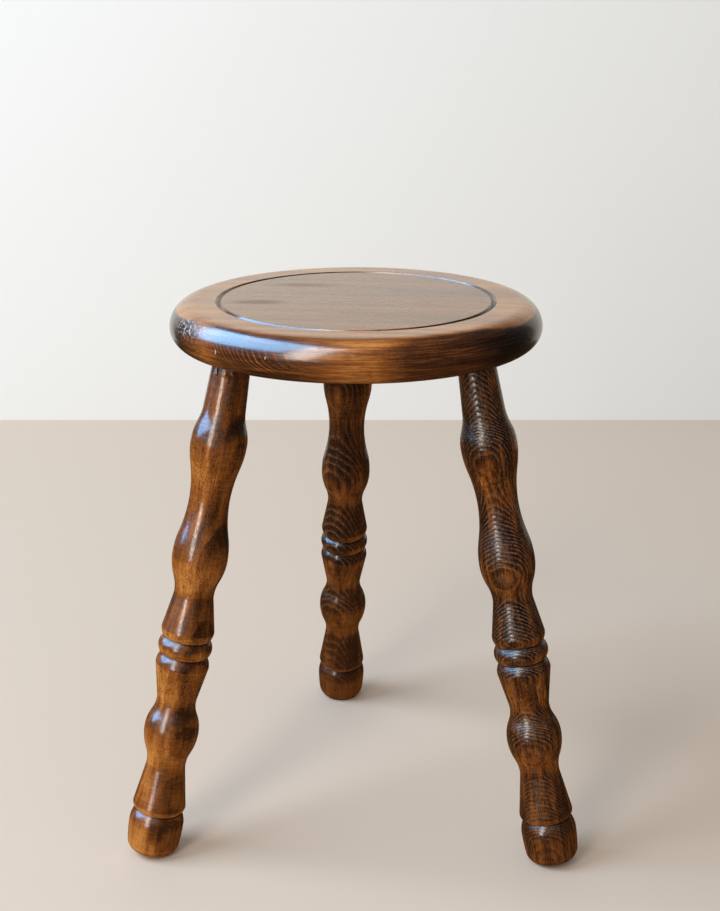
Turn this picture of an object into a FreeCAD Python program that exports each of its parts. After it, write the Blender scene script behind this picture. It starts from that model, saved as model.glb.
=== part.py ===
"""Tripod stool: a round seat of two glued boards on three splayed, turned legs.

Millimetres and degrees. The origin is on the floor under the middle of the seat, +Z is up and the rear leg
stands towards +Y.
"""
import FreeCAD, Part
import Sketcher
import math
import os

# Driving sizes. Lengths on a leg run along its axis, from the underside of the seat down to the floor.
SIZES = {
    # Seat. The legs reach its height with the long curves between their upper and middle bulges
    "seat_height": 449.3,
    "seat_diameter": 301,
    "seat_thickness": 33.4,
    "upper_round": 19,
    "ring_inset": 39.5,
    "ring_width": 4.6,
    "ring_depth": 2.6,
    "seam_angle": -6.6,
    # Dowels across the seam
    "dowel_diameter": 8,
    "dowel_length": 50,
    "dowel_spacing": 70,
    "dowel_chamfer": 1,
    # Sockets: their inset from the edge of the seat, the wood left over them, and the legs' splay
    "socket_inset": 38.4,
    "socket_cover": 8,
    "splay_angle": 11.5,
    # Each leg's swing from straight ahead or behind, and how far it leans off the middle of the seat
    "left_swing_angle": 58.6,
    "right_swing_angle": 55.8,
    "rear_swing_angle": 3.2,
    "left_twist_angle": -5.2,
    "right_twist_angle": 1.2,
    "rear_twist_angle": 3.7,
    # Tenon and wedge
    "tenon_diameter": 30,
    "tenon_show": 1,
    "tenon_chamfer": 1.5,
    "wedge_head": 4,
    "wedge_tip": 1.6,
    "wedge_length": 16,
    "glue_gap": 0.1,
    # Lengths of a leg's other turned elements, from the seat down
    "top_taper": 39.4,
    "upper_bulge_above": 29,
    "middle_bulge_below": 30.5,
    "upper_flare": 31,
    "upper_lip": 7.5,
    "bead_length": 14.7,
    "shoulder_length": 8.8,
    "lower_flare": 31.5,
    "lower_bulge_above": 26,
    "lower_bulge_below": 29.5,
    "ankle_flare": 36.7,
    "ankle_lip": 5.3,
    "foot_shoulder": 11.5,
    "foot_side": 18,
    "foot_edge": 8,
    "foot_lift": 1,
    # The necks' diameter, and how far the other elements stand out from a neck or a groove
    "neck_diameter": 32.2,
    "top_rise": 0.7,
    "bulge_rise": 6.3,
    "upper_flare_rise": 5.4,
    "ankle_flare_rise": 5.75,
    "groove_depth": 2.6,
    "bead_rise": 3.1,
    "shoulder_rise": 2.9,
    "ankle_groove_depth": 2.85,
    "foot_rise": 3.6,
    "foot_taper": 1.2,
    # Curves: the radius where a neck runs into a cone, and the bulge's share of each double curve
    "neck_round": 20,
    "top_share": 0.48,
    "long_share": 0.42,
    "short_share": 0.59,
}

FIXED_ELEMENTS = (
    "top_taper",
    "upper_bulge_above",
    "middle_bulge_below",
    "upper_flare",
    "upper_lip",
    "bead_length",
    "shoulder_length",
    "lower_flare",
    "lower_bulge_above",
    "lower_bulge_below",
    "ankle_flare",
    "ankle_lip",
    "foot_shoulder",
    "foot_side",
    "foot_edge",
    "foot_lift",
)
LEGS_OF_FRONT_BOARD = ("left", "right")
LEGS_OF_REAR_BOARD = ("rear",)
DOWEL_STEPS = {"left": -1, "middle": 0, "right": 1}

# How a sketch numbers the ends and the centre of an element, its own origin and its upright axis
START, END, CENTRE = 1, 2, 3
ORIGIN, UPRIGHT = (-1, 1), -2


class Size:
    """A number together with the expression that works it out from the sheet."""

    def __init__(self, number, text):
        self.number = number
        self.text = text

    def __add__(self, other):
        return Size(self.number + other.number, f"({self.text} + {other.text})")

    def __sub__(self, other):
        return Size(self.number - other.number, f"({self.text} - {other.text})")

    def __neg__(self):
        return Size(-self.number, f"(-{self.text})")

    def __mul__(self, other):
        if isinstance(other, Size):
            return Size(self.number * other.number, f"({self.text} * {other.text})")
        return Size(self.number * other, f"({self.text} * {other})")

    def __truediv__(self, other):
        if isinstance(other, Size):
            return Size(self.number / other.number, f"({self.text} / {other.text})")
        return Size(self.number / other, f"({self.text} / {other})")


def size(name):
    """Gives one driving size."""
    return Size(SIZES[name], f"Sizes.{name}")


def angle(degrees):
    """Gives a fixed angle."""
    return Size(degrees, str(degrees))


def sine(turn):
    return Size(math.sin(math.radians(turn.number)), f"sin({turn.text} * 1deg)")


def cosine(turn):
    return Size(math.cos(math.radians(turn.number)), f"cos({turn.text} * 1deg)")


def square_root(area):
    return Size(math.sqrt(area.number), f"sqrt({area.text})")


def vector(x, y, z):
    """Gives the expression of a vector."""
    return f"vector({x.text}; {y.text}; {z.text})"


def placement(spot, yaw, pitch):
    """Gives the expression of a place, turned by a yaw about Z after a pitch about Y."""
    return f"placement({spot}; rotation({yaw.text}; {pitch.text}; 0))"


# Sizes that follow from the driving ones
ZERO = angle(0)
AHEAD = angle(270)
BEHIND = angle(90)
HALF_TURN = angle(180)
SPLAY = size("splay_angle")
UNDERSIDE = size("seat_height") - size("seat_thickness")
LEG_LENGTH = UNDERSIDE / cosine(SPLAY)
FIXED_LENGTH = sum((size(name) for name in FIXED_ELEMENTS), ZERO)
LONG_CURVE = (LEG_LENGTH - FIXED_LENGTH) / 2
SOCKET_REACH = size("seat_diameter") / 2 - size("socket_inset")
AZIMUTHS = {
    "left": AHEAD - size("left_swing_angle"),
    "right": AHEAD + size("right_swing_angle"),
    "rear": BEHIND + size("rear_swing_angle"),
}
LEANS = {name: azimuth + size(f"{name}_twist_angle") for name, azimuth in AZIMUTHS.items()}
TENON_RADIUS = size("tenon_diameter") / 2
SOCKET_RADIUS = TENON_RADIUS + size("glue_gap")
SOCKET_RISE = size("seat_thickness") - size("socket_cover") - SOCKET_RADIUS * sine(SPLAY)
SOCKET_DEPTH = SOCKET_RISE / cosine(SPLAY)
TENON_DEPTH = SOCKET_DEPTH - size("glue_gap")
TENON_RUN = SOCKET_RADIUS * sine(SPLAY) / cosine(SPLAY) + size("tenon_show")
HALF_HEAD = size("wedge_head") / 2
WEDGE_WIDTH = square_root(TENON_RADIUS * TENON_RADIUS - HALF_HEAD * HALF_HEAD) * 2 - size("glue_gap") * 2
NECK_RADIUS = size("neck_diameter") / 2
BULGE_RADIUS = NECK_RADIUS + size("bulge_rise")
UPPER_LIP_RADIUS = NECK_RADIUS + size("upper_flare_rise")
GROOVE_RADIUS = UPPER_LIP_RADIUS - size("groove_depth")
ANKLE_LIP_RADIUS = NECK_RADIUS + size("ankle_flare_rise")
ANKLE_GROOVE_RADIUS = ANKLE_LIP_RADIUS - size("ankle_groove_depth")
FOOT_RADIUS = ANKLE_GROOVE_RADIUS + size("foot_rise")

doc = FreeCAD.newDocument("TripodStool")


def add_sheet():
    """Puts the driving sizes in a sheet, each under its own alias."""
    sheet = doc.addObject("Spreadsheet::Sheet", "Sizes")
    for row, (name, number) in enumerate(SIZES.items(), start=1):
        sheet.set(f"A{row}", name)
        sheet.set(f"B{row}", str(number))
        sheet.setAlias(f"B{row}", name)
    doc.recompute()


def add_body(label, place):
    """Starts a sub-part at a place that follows the sheet."""
    body = doc.addObject("PartDesign::Body", label)
    body.Label = label
    body.setExpression("Placement", place)
    return body


def attach(feature, body, role, offset=None):
    """Sets a sketch or a primitive on one of the body's own origin planes, moved by an offset."""
    plane = next(plane for plane in body.Origin.OriginFeatures if plane.Role == role)
    feature.AttachmentSupport = [(plane, "")]
    feature.MapMode = "FlatFace"
    if offset:
        feature.setExpression("AttachmentOffset", offset)


def add_sketch(body, name, role, offset=None):
    """Starts a sketch on an origin plane."""
    sketch = body.newObject("Sketcher::SketchObject", name)
    attach(sketch, body, role, offset)
    doc.recompute()
    return sketch


def dimension(sketch, kind, *where, to):
    """Dimensions a sketch and ties the dimension to the sheet."""
    index = sketch.addConstraint(Sketcher.Constraint(kind, *where, to.number))
    sketch.setExpression(f"Constraints[{index}]", to.text)


def relate(sketch, kind, *where):
    """Adds a geometric relation to a sketch."""
    sketch.addConstraint(Sketcher.Constraint(kind, *where))


def revolve(body, sketch, degrees=360, reverse=False):
    """Turns a half outline about its upright axis."""
    turned = body.newObject("PartDesign::Revolution", "Turned")
    turned.Profile = sketch
    turned.ReferenceAxis = (sketch, ["V_Axis"])
    turned.Angle = degrees
    turned.Reversed = reverse
    doc.recompute()


def cut_cylinder(body, name, role, radius, length, offset):
    """Takes a round cut out of a body, along the normal of an origin plane moved by the offset."""
    before = body.Shape.Volume
    cut = body.newObject("PartDesign::SubtractiveCylinder", name)
    attach(cut, body, role, offset)
    cut.setExpression("Radius", radius.text)
    cut.setExpression("Height", length.text)
    doc.recompute()
    if body.Shape.Volume >= before:
        raise RuntimeError(f"{name} cuts nothing out of {body.Label}")


class TurnedOutline:
    """Half the outline of a turned leg, drawn from its top end down.

    In the sketch x is the radius and y the height along the axis. Each element starts where the last one
    ended, and is sized by the radius at its lower end and its drop.
    """

    def __init__(self, sketch, top):
        self.sketch = sketch
        self.top = top
        self.x = 0.0
        self.y = top.number

    def add_line(self, x, y):
        """Draws a straight stretch to a point and gives its number."""
        start = FreeCAD.Vector(self.x, self.y, 0)
        self.x = x
        self.y = y
        return self.sketch.addGeometry(Part.LineSegment(start, FreeCAD.Vector(x, y, 0)), False)

    def add_arc(self, x, y, radius, low, high):
        """Draws an arc about a centre, between two angles, and gives its number."""
        circle = Part.Circle(FreeCAD.Vector(x, y, 0), FreeCAD.Vector(0, 0, 1), radius)
        return self.sketch.addGeometry(Part.ArcOfCircle(circle, low, high), False)

    def join(self, element, upper):
        """Sets the upper end of a new element on the end of the last one."""
        relate(self.sketch, "Coincident", *self.last, element, upper)

    def upright(self, arc, end):
        """Makes an arc run along the axis at one of its ends."""
        relate(self.sketch, "Horizontal", arc, CENTRE, arc, end)

    def place(self, element, end, radius, drop, above):
        """Sizes the lower end of an element: its radius, and its drop below a point above it."""
        dimension(self.sketch, "DistanceX", *ORIGIN, element, end, to=radius)
        dimension(self.sketch, "DistanceY", element, end, *above, to=drop)
        self.last = (element, end)

    def end_face(self, radius):
        """Draws the flat top end, from the axis out."""
        self.first = self.add_line(radius.number, self.y)
        relate(self.sketch, "PointOnObject", self.first, START, UPRIGHT)
        relate(self.sketch, "Horizontal", self.first)
        dimension(self.sketch, "DistanceX", *ORIGIN, self.first, END, to=radius)
        dimension(self.sketch, "DistanceY", *ORIGIN, self.first, END, to=self.top)
        self.last = (self.first, END)

    def slope(self, radius, drop):
        """Draws a straight stretch, a cone or a cylinder on the leg."""
        line = self.add_line(radius.number, self.y - drop.number)
        self.join(line, START)
        self.place(line, END, radius, drop, (line, START))

    def double_curve(self, rise, drop, share):
        """Gives the bulge's and the neck's radius in a double curve, and how far both arcs turn."""
        both = (drop.number ** 2 + rise ** 2) / (2 * rise)
        return both * share.number, both * (1 - share.number), math.asin(drop.number / both)

    def neck_to_bulge(self, radius, drop, share):
        """Draws the double curve from a neck down to a bulge."""
        crown, hollow, bend = self.double_curve(radius.number - self.x, drop, share)
        neck = self.add_arc(self.x + hollow, self.y, hollow, math.pi, math.pi + bend)
        self.join(neck, START)
        self.upright(neck, START)
        self.x = radius.number
        self.y -= drop.number
        bulge = self.add_arc(self.x - crown, self.y, crown, 0, bend)
        relate(self.sketch, "Tangent", neck, END, bulge, END)
        self.place(bulge, START, radius, drop, (neck, START))
        self.upright(bulge, START)
        dimension(self.sketch, "DistanceY", bulge, START, bulge, END, to=drop * share)

    def bulge_to_neck(self, radius, drop, share):
        """Draws the double curve from a bulge down to a neck."""
        crown, hollow, bend = self.double_curve(self.x - radius.number, drop, share)
        bulge = self.add_arc(self.x - crown, self.y, crown, -bend, 0)
        self.join(bulge, END)
        self.upright(bulge, END)
        self.x = radius.number
        self.y -= drop.number
        neck = self.add_arc(self.x + hollow, self.y, hollow, math.pi - bend, math.pi)
        relate(self.sketch, "Tangent", bulge, START, neck, START)
        self.place(neck, END, radius, drop, (bulge, END))
        self.upright(neck, END)
        dimension(self.sketch, "DistanceY", bulge, START, bulge, END, to=drop * share)

    def cone_bend(self, rise, drop, hollow):
        """Gives how far a neck's arc turns before it runs straight into a cone."""
        reach = math.hypot(hollow - rise, drop)
        return math.atan2(drop, hollow - rise) - math.acos(hollow / reach)

    def neck_to_lip(self, hollow, radius, drop):
        """Draws a neck's arc and the cone that widens below it."""
        bend = self.cone_bend(radius.number - self.x, drop.number, hollow.number)
        centre_x = self.x + hollow.number
        top = self.y
        neck = self.add_arc(centre_x, top, hollow.number, math.pi, math.pi + bend)
        self.join(neck, START)
        self.upright(neck, START)
        dimension(self.sketch, "Radius", neck, to=hollow)
        self.x = centre_x - hollow.number * math.cos(bend)
        self.y = top - hollow.number * math.sin(bend)
        cone = self.add_line(radius.number, top - drop.number)
        relate(self.sketch, "Tangent", neck, END, cone, START)
        self.place(cone, END, radius, drop, (neck, START))

    def lip_to_neck(self, hollow, radius, drop):
        """Draws a cone that narrows downward and the arc of the neck at its foot."""
        bend = self.cone_bend(self.x - radius.number, drop.number, hollow.number)
        centre_x = radius.number + hollow.number
        bottom = self.y - drop.number
        cone_end_x = centre_x - hollow.number * math.cos(bend)
        cone = self.add_line(cone_end_x, bottom + hollow.number * math.sin(bend))
        self.join(cone, START)
        neck = self.add_arc(centre_x, bottom, hollow.number, math.pi - bend, math.pi)
        relate(self.sketch, "Tangent", cone, END, neck, START)
        dimension(self.sketch, "Radius", neck, to=hollow)
        self.place(neck, END, radius, drop, (cone, START))
        self.upright(neck, END)
        self.x = radius.number
        self.y = bottom

    def round_in(self, radius, drop):
        """Draws a round edge that leaves the widest point along the axis and narrows below it."""
        rise = self.x - radius.number
        crown = (drop.number ** 2 + rise ** 2) / (2 * rise)
        edge = self.add_arc(self.x - crown, self.y, crown, -math.asin(drop.number / crown), 0)
        self.join(edge, END)
        self.upright(edge, END)
        self.place(edge, START, radius, drop, (edge, END))
        self.x = radius.number
        self.y -= drop.number

    def round_out(self, radius, drop):
        """Draws a round shoulder that widens downward to its widest point."""
        rise = radius.number - self.x
        crown = (drop.number ** 2 + rise ** 2) / (2 * rise)
        self.x = radius.number
        self.y -= drop.number
        shoulder = self.add_arc(self.x - crown, self.y, crown, 0, math.asin(drop.number / crown))
        self.join(shoulder, END)
        self.place(shoulder, START, radius, drop, (shoulder, END))
        self.upright(shoulder, START)

    def bead(self, radius, drop, rise):
        """Draws a round bead between two grooves of one radius."""
        half = drop / 2
        crown = (half * half + rise * rise) / (rise * 2)
        bend = math.asin(half.number / crown.number)
        centre_x = self.x + rise.number - crown.number
        ring = self.add_arc(centre_x, self.y - half.number, crown.number, -bend, bend)
        self.join(ring, END)
        self.place(ring, START, radius, drop, (ring, END))
        dimension(self.sketch, "Radius", ring, to=crown)
        self.y -= drop.number

    def rounded_end(self, drop):
        """Draws the rounded lower edge, the flat end and the axis, which closes the outline."""
        side = self.sketch.Geometry[self.last[0]]
        lean = math.asin((self.y - side.Center.y) / side.Radius)
        radius = drop.number / (1 + math.sin(lean))
        centre_x = self.x - radius * math.cos(lean)
        edge = self.add_arc(centre_x, self.y - radius * math.sin(lean), radius, -math.pi / 2, lean)
        relate(self.sketch, "Tangent", *self.last, edge, END)
        self.x = centre_x
        self.y -= drop.number
        face = self.add_line(0, self.y)
        relate(self.sketch, "Tangent", edge, START, face, START)
        relate(self.sketch, "Horizontal", face)
        relate(self.sketch, "PointOnObject", face, END, UPRIGHT)
        dimension(self.sketch, "DistanceY", face, START, *self.last, to=drop)
        axis = self.add_line(0, self.top.number)
        relate(self.sketch, "Coincident", face, END, axis, START)
        relate(self.sketch, "Coincident", axis, END, self.first, START)


def leg_place(name):
    """Gives the place of a leg: its origin is where its axis meets the underside of the seat."""
    turn = AZIMUTHS[name]
    spot = vector(SOCKET_REACH * cosine(turn), SOCKET_REACH * sine(turn), UNDERSIDE)
    return placement(spot, LEANS[name], -SPLAY)


def kerf_place(name):
    """Turns a leg's wedge square to the grain of the seat, so that it can't split the board."""
    return placement(vector(ZERO, ZERO, ZERO), ZERO, size("seam_angle") - LEANS[name])


def draw_leg(sketch):
    """Draws the turned outline of a leg, from the tenon down to the foot."""
    outline = TurnedOutline(sketch, TENON_DEPTH)
    outline.end_face(TENON_RADIUS - size("tenon_chamfer"))
    outline.slope(TENON_RADIUS, size("tenon_chamfer"))
    outline.slope(TENON_RADIUS, TENON_DEPTH - size("tenon_chamfer") + TENON_RUN)
    outline.slope(NECK_RADIUS + size("top_rise"), size("top_taper") - TENON_RUN)
    outline.neck_to_bulge(BULGE_RADIUS, size("upper_bulge_above"), size("top_share"))
    outline.bulge_to_neck(NECK_RADIUS, LONG_CURVE, size("long_share"))
    outline.neck_to_bulge(BULGE_RADIUS, LONG_CURVE, size("long_share"))
    outline.bulge_to_neck(NECK_RADIUS, size("middle_bulge_below"), size("short_share"))
    outline.neck_to_lip(size("neck_round"), UPPER_LIP_RADIUS, size("upper_flare"))
    outline.round_in(GROOVE_RADIUS, size("upper_lip"))
    outline.bead(GROOVE_RADIUS, size("bead_length"), size("bead_rise"))
    outline.round_out(GROOVE_RADIUS + size("shoulder_rise"), size("shoulder_length"))
    outline.lip_to_neck(size("neck_round"), NECK_RADIUS, size("lower_flare"))
    outline.neck_to_bulge(BULGE_RADIUS, size("lower_bulge_above"), size("short_share"))
    outline.bulge_to_neck(NECK_RADIUS, size("lower_bulge_below"), size("short_share"))
    outline.neck_to_lip(size("neck_round"), ANKLE_LIP_RADIUS, size("ankle_flare"))
    outline.round_in(ANKLE_GROOVE_RADIUS, size("ankle_lip"))
    outline.round_out(FOOT_RADIUS, size("foot_shoulder"))
    outline.round_in(FOOT_RADIUS - size("foot_taper"), size("foot_side"))
    outline.rounded_end(size("foot_edge"))
    doc.recompute()


def draw_wedge(sketch, slack):
    """Draws a wedge in its tenon, head at the tenon's end, smaller than its kerf by the slack all round."""
    head = size("wedge_head") - slack * 2
    tip = size("wedge_tip") - slack * 2
    length = size("wedge_length") - slack
    top = TENON_DEPTH.number
    bottom = top - length.number
    corners = [
        FreeCAD.Vector(-tip.number / 2, bottom, 0),
        FreeCAD.Vector(tip.number / 2, bottom, 0),
        FreeCAD.Vector(head.number / 2, top, 0),
        FreeCAD.Vector(-head.number / 2, top, 0),
    ]
    edges = []
    for start, end in zip(corners, corners[1:] + corners[:1]):
        edges.append(sketch.addGeometry(Part.LineSegment(start, end), False))
    for edge, following in zip(edges, edges[1:] + edges[:1]):
        relate(sketch, "Coincident", edge, END, following, START)
    tip_edge = edges[0]
    head_edge = edges[2]
    relate(sketch, "Symmetric", tip_edge, START, tip_edge, END, UPRIGHT)
    relate(sketch, "Symmetric", head_edge, START, head_edge, END, UPRIGHT)
    dimension(sketch, "DistanceX", tip_edge, START, tip_edge, END, to=tip)
    dimension(sketch, "DistanceX", head_edge, END, head_edge, START, to=head)
    dimension(sketch, "DistanceY", tip_edge, START, head_edge, END, to=length)
    dimension(sketch, "DistanceY", *ORIGIN, head_edge, END, to=TENON_DEPTH)
    doc.recompute()


def cut_kerf(body, name):
    """Saws the wedge's kerf into the end of a leg's tenon."""
    before = body.Shape.Volume
    outline = add_sketch(body, "KerfOutline", "XZ_Plane", kerf_place(name))
    draw_wedge(outline, ZERO)
    kerf = body.newObject("PartDesign::Pocket", "Kerf")
    kerf.Profile = outline
    kerf.Midplane = True
    kerf.setExpression("Length", (size("tenon_diameter") * 2).text)
    doc.recompute()
    if body.Shape.Volume >= before:
        raise RuntimeError(f"the kerf cuts nothing out of {body.Label}")


def level_foot(body):
    """Cuts a leg's foot level with the floor."""
    depth = FOOT_RADIUS * 2
    below_floor = vector(-depth * sine(SPLAY), ZERO, -LEG_LENGTH - depth * cosine(SPLAY))
    cut_cylinder(body, "FloorCut", "XY_Plane", depth, depth, placement(below_floor, ZERO, SPLAY))


def make_leg(name):
    """Turns a leg, kerfs its tenon and levels its foot."""
    body = add_body(f"leg_{name}", leg_place(name))
    outline = add_sketch(body, "Outline", "XZ_Plane")
    draw_leg(outline)
    revolve(body, outline)
    cut_kerf(body, name)
    level_foot(body)
    return body


def make_wedge(name):
    """Makes the fox wedge that spreads a leg's tenon in its blind socket."""
    body = add_body(f"wedge_{name}", leg_place(name))
    outline = add_sketch(body, "WedgeOutline", "XZ_Plane", kerf_place(name))
    draw_wedge(outline, size("glue_gap"))
    wedge = body.newObject("PartDesign::Pad", "Wedge")
    wedge.Profile = outline
    wedge.Midplane = True
    wedge.setExpression("Length", WEDGE_WIDTH.text)
    doc.recompute()
    return body


def draw_seat(sketch):
    """Draws half the seat's section: flat faces, an edge of two quarter rounds and the groove's V."""
    thickness = size("seat_thickness")
    radius = size("seat_diameter") / 2
    upper = size("upper_round")
    lower = thickness - upper
    ring = radius - size("ring_inset")
    groove = size("ring_width") / 2
    top = thickness.number
    points = [
        FreeCAD.Vector((radius - upper).number, top, 0),
        FreeCAD.Vector((ring + groove).number, top, 0),
        FreeCAD.Vector(ring.number, top - size("ring_depth").number, 0),
        FreeCAD.Vector((ring - groove).number, top, 0),
        FreeCAD.Vector(0, top, 0),
        FreeCAD.Vector(0, 0, 0),
        FreeCAD.Vector((radius - lower).number, 0, 0),
    ]
    lines = []
    for start, end in zip(points, points[1:]):
        lines.append(sketch.addGeometry(Part.LineSegment(start, end), False))
    for line, following in zip(lines, lines[1:]):
        relate(sketch, "Coincident", line, END, following, START)
    rim, outer_wall, inner_wall, middle, axis, underside = lines
    up = FreeCAD.Vector(0, 0, 1)
    lower_circle = Part.Circle(FreeCAD.Vector(points[6].x, lower.number, 0), up, lower.number)
    upper_circle = Part.Circle(FreeCAD.Vector(points[0].x, lower.number, 0), up, upper.number)
    lower_arc = sketch.addGeometry(Part.ArcOfCircle(lower_circle, -math.pi / 2, 0), False)
    upper_arc = sketch.addGeometry(Part.ArcOfCircle(upper_circle, 0, math.pi / 2), False)
    for level in (rim, middle, underside):
        relate(sketch, "Horizontal", level)
    relate(sketch, "Horizontal", rim, END, middle, START)
    relate(sketch, "Coincident", axis, END, *ORIGIN)
    relate(sketch, "PointOnObject", axis, START, UPRIGHT)
    relate(sketch, "Tangent", underside, END, lower_arc, START)
    relate(sketch, "Tangent", lower_arc, END, upper_arc, START)
    relate(sketch, "Tangent", upper_arc, END, rim, START)
    relate(sketch, "Horizontal", upper_arc, CENTRE, upper_arc, START)
    dimension(sketch, "Radius", upper_arc, to=upper)
    dimension(sketch, "DistanceX", *ORIGIN, upper_arc, START, to=radius)
    dimension(sketch, "DistanceY", axis, END, axis, START, to=thickness)
    dimension(sketch, "DistanceX", *ORIGIN, outer_wall, END, to=ring)
    dimension(sketch, "DistanceX", outer_wall, END, outer_wall, START, to=groove)
    dimension(sketch, "DistanceX", inner_wall, END, inner_wall, START, to=groove)
    dimension(sketch, "DistanceY", outer_wall, END, outer_wall, START, to=size("ring_depth"))
    doc.recompute()


def bore_socket(body, name):
    """Bores a leg's blind socket into the underside of a board, along the leg's axis."""
    turn = AZIMUTHS[name] - size("seam_angle")
    lean = LEANS[name] - size("seam_angle")
    back = TENON_RUN * sine(SPLAY)
    x = SOCKET_REACH * cosine(turn) + back * cosine(lean)
    y = SOCKET_REACH * sine(turn) + back * sine(lean)
    below_seat = vector(x, y, -TENON_RUN * cosine(SPLAY))
    along_leg = placement(below_seat, lean, -SPLAY)
    cut_cylinder(body, f"Socket_{name}", "XY_Plane", SOCKET_RADIUS, TENON_RUN + SOCKET_DEPTH, along_leg)


def bore_dowel_hole(body, name, flip):
    """Bores a dowel's hole into the seam face of a board, at half its thickness."""
    spot = vector(size("dowel_spacing") * DOWEL_STEPS[name], size("seat_thickness") / 2, ZERO)
    radius = size("dowel_diameter") / 2 + size("glue_gap")
    depth = size("dowel_length") / 2 + size("glue_gap")
    cut_cylinder(body, f"DowelHole_{name}", "XZ_Plane", radius, depth, placement(spot, ZERO, flip))


def seat_place():
    """Gives the place of the seat: its own frame is on the underside, with X along the seam."""
    return placement(vector(ZERO, ZERO, UNDERSIDE), size("seam_angle"), ZERO)


def make_board(label, legs, is_front):
    """Makes half of the seat, split along the seam, with its sockets and dowel holes."""
    body = add_body(label, seat_place())
    section = add_sketch(body, "Section", "XZ_Plane")
    draw_seat(section)
    revolve(body, section, degrees=180, reverse=is_front)
    for name in legs:
        bore_socket(body, name)
    for name in DOWEL_STEPS:
        bore_dowel_hole(body, name, ZERO if is_front else HALF_TURN)
    return body


def make_dowel(name):
    """Makes a dowel across the seam, chamfered at both ends."""
    body = add_body(f"seam_dowel_{name}", seat_place())
    rod = body.newObject("PartDesign::AdditiveCylinder", "Rod")
    length = size("dowel_length")
    spot = vector(size("dowel_spacing") * DOWEL_STEPS[name], size("seat_thickness") / 2, -length / 2)
    attach(rod, body, "XZ_Plane", placement(spot, ZERO, ZERO))
    rod.setExpression("Radius", (size("dowel_diameter") / 2).text)
    rod.setExpression("Height", length.text)
    doc.recompute()
    flat_ends = [
        f"Face{number}"
        for number, face in enumerate(rod.Shape.Faces, start=1)
        if isinstance(face.Surface, Part.Plane)
    ]
    chamfer = body.newObject("PartDesign::Chamfer", "Ends")
    chamfer.Base = (rod, flat_ends)
    chamfer.setExpression("Size", size("dowel_chamfer").text)
    doc.recompute()
    return body


def check_document(bodies):
    """Stops if any object failed, or if a sub-part isn't one whole solid."""
    for item in doc.Objects:
        if "Invalid" in item.State or "Error" in item.State:
            raise RuntimeError(f"{item.Label} failed: {item.State}")
    for body in bodies:
        if body.Shape.isNull() or not body.Shape.isValid() or len(body.Shape.Solids) != 1:
            raise RuntimeError(f"{body.Label} isn't one valid solid")


def write_parts(bodies):
    """Writes each sub-part to its own file."""
    os.makedirs("parts", exist_ok=True)
    for body in bodies:
        body.Shape.exportStep(f"parts/{body.Label}.step")


add_sheet()
stool = [
    make_board("seat_board_front", LEGS_OF_FRONT_BOARD, True),
    make_board("seat_board_rear", LEGS_OF_REAR_BOARD, False),
]
for dowel in DOWEL_STEPS:
    stool.append(make_dowel(dowel))
for leg in LEGS_OF_FRONT_BOARD + LEGS_OF_REAR_BOARD:
    stool.append(make_leg(leg))
    stool.append(make_wedge(leg))
doc.recompute()
check_document(stool)
write_parts(stool)
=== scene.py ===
"""The looks of the tripod stool: stained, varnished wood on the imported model, in metres."""
import math
from dataclasses import dataclass

import bmesh
import bpy
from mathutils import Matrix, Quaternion, Vector


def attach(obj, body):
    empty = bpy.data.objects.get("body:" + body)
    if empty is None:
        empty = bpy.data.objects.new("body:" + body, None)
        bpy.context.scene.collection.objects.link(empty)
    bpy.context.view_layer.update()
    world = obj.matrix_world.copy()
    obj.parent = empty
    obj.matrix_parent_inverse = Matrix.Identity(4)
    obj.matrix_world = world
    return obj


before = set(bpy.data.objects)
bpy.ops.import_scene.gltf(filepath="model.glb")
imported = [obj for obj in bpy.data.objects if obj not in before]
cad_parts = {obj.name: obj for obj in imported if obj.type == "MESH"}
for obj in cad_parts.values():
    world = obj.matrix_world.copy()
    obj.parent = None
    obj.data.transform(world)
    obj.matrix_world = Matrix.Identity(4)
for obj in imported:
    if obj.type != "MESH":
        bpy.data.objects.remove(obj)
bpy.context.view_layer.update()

# Sizes that the looks share with the construction, with angles in degrees
SEAT_TOP = 0.4493
UNDERSIDE = 0.4159
SEAT_RADIUS = 0.1505
RING_RADIUS = 0.111
SEAM_ANGLE = -6.6
SPLAY_ANGLE = 11.5
SOCKET_REACH = 0.1121
LEG_AZIMUTHS = {"left": 211.4, "right": 325.8, "rear": 93.2}
LEG_LEANS = {"left": 206.2, "right": 327.0, "rear": 96.9}

# Where the grooves of a leg and the lips over them lie down its axis from the seat, and their reach
LEG_GROOVES = (0.2334, 0.2481, 0.3859)
GROOVE_REACH = 0.0014
LEG_LIPS = (0.2318, 0.2465, 0.3843)
LIP_REACH = 0.0012

# Browns of the stain, by their tone: from 0 in the pores to 1 on the worn edges
STAIN_TONES = (
    (0.0, (0.010, 0.0035, 0.0018)),
    (0.35, (0.060, 0.019, 0.005)),
    (0.65, (0.25, 0.077, 0.0125)),
    (1.0, (0.62, 0.26, 0.06)),
)

# Colours of the thin pale lines along the rings of a leg, partly the grain and partly a painted sheen off
# its ridges, and of scuffed wood
PALE_LINE_AND_SHEEN = (0.24, 0.155, 0.105, 1.0)
SCUFFED = (0.62, 0.6, 0.56, 1.0)

# Unstained wood of the hidden pieces: its colours by their tone, a place on its pith and the width of a ring
BARE_TONES = (
    (0.0, (0.30, 0.19, 0.10)),
    (0.5, (0.52, 0.36, 0.21)),
    (1.0, (0.68, 0.51, 0.33)),
)
BARE_PITH = (0, 0.04, UNDERSIDE)
BARE_RING = 0.002

# How much its features add to its tone or take from it, and their relief in millimetres
BARE_LATE_TONE = 0.3
BARE_FIBRE_TONE = 0.5
BARE_CLOUD_TONE = 0.3
BARE_PORE_TONE = 0.2
BARE_LATE_HEIGHT = 0.02
BARE_PORE_DEPTH = 0.03

# The varnish, and how much of a sheen the seat's wood has under it
VARNISH_ROUGHNESS = 0.17
VARNISH_IOR = 1.5
SEAT_SHEEN = 0.05

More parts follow.
